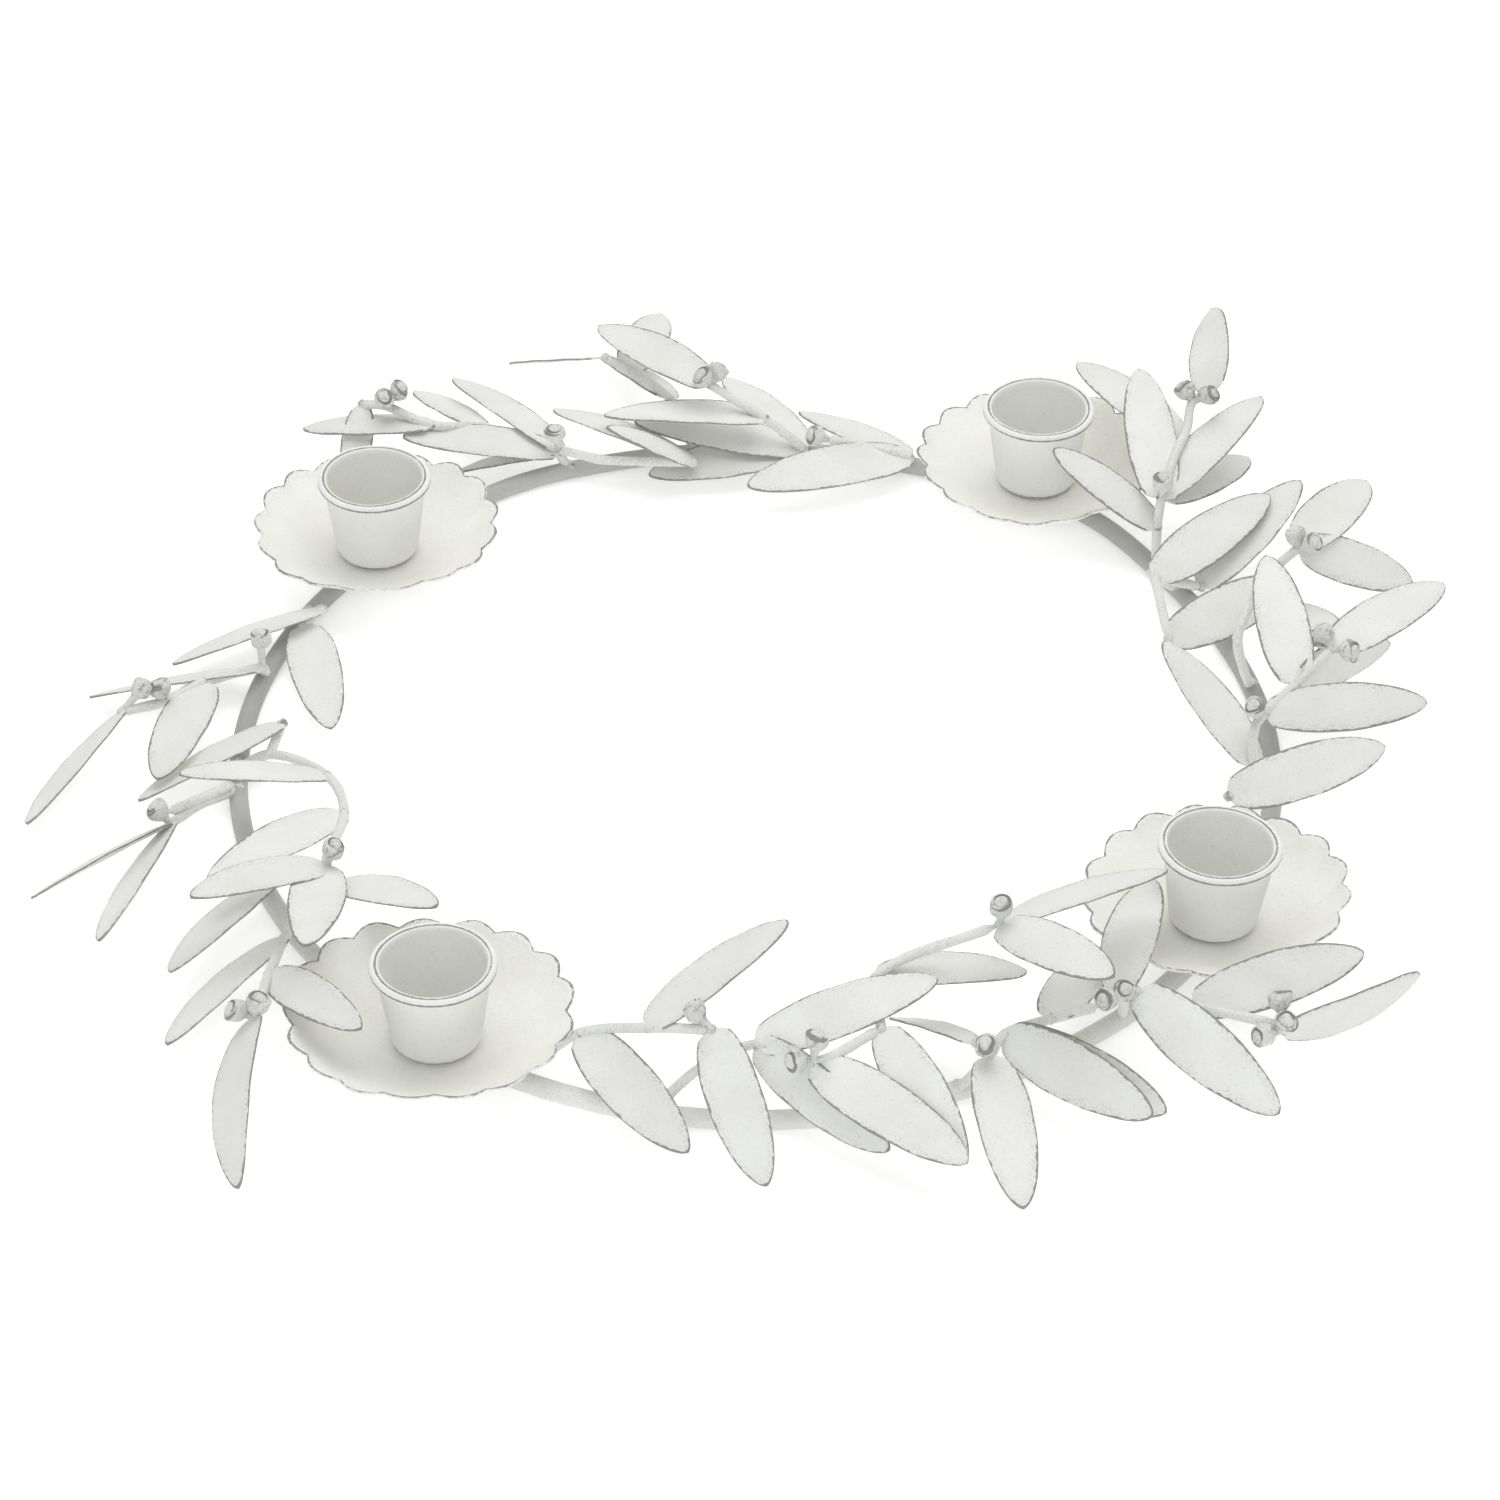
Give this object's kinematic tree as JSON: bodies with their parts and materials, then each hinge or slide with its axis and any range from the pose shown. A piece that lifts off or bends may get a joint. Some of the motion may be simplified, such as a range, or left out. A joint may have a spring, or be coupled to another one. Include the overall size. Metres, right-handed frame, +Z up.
{
  "type": "metal advent wreath",
  "caption": "Ring of white-painted rod with scalloped dishes, candle cups and welded sprigs of long metal leaves and berries; lies flat on a table.",
  "frame": {"origin": "middle of the bounding box at the table", "axes": "+Z up from the table; -Y is the side nearest the camera in the picture, +X is its right"},
  "size_m": [0.3856, 0.3854, 0.0473],
  "materials": {
    "ring": "matt off-white paint, rubbed through to grey along the edges",
    "dish": "matt off-white paint, rubbed through to grey along the edges",
    "cup": "matt off-white paint, rubbed through to grey along the edges",
    "sprig": "matt off-white paint, rubbed through to grey along the edges"
  },
  "bodies": {
    "root": {"ring": "ring", "dish_front_left": "dish", "cup_front_left": "cup", "dish_front_right": "dish", "cup_front_right": "cup", "dish_back_right": "dish", "cup_back_right": "cup", "dish_back_left": "dish", "cup_back_left": "cup", "sprig_left_1": "sprig", "sprig_left_2": "sprig", "sprig_left_3": "sprig", "sprig_left_4": "sprig", "sprig_left_5": "sprig", "sprig_left_6": "sprig", "sprig_front_1": "sprig", "sprig_front_2": "sprig", "sprig_front_3": "sprig", "sprig_front_4": "sprig", "sprig_right_1": "sprig", "sprig_right_2": "sprig", "sprig_right_3": "sprig", "sprig_right_4": "sprig", "sprig_right_5": "sprig", "sprig_back_1": "sprig", "sprig_back_2": "sprig", "sprig_back_3": "sprig", "sprig_back_4": "sprig"}
  },
  "joints": []
}
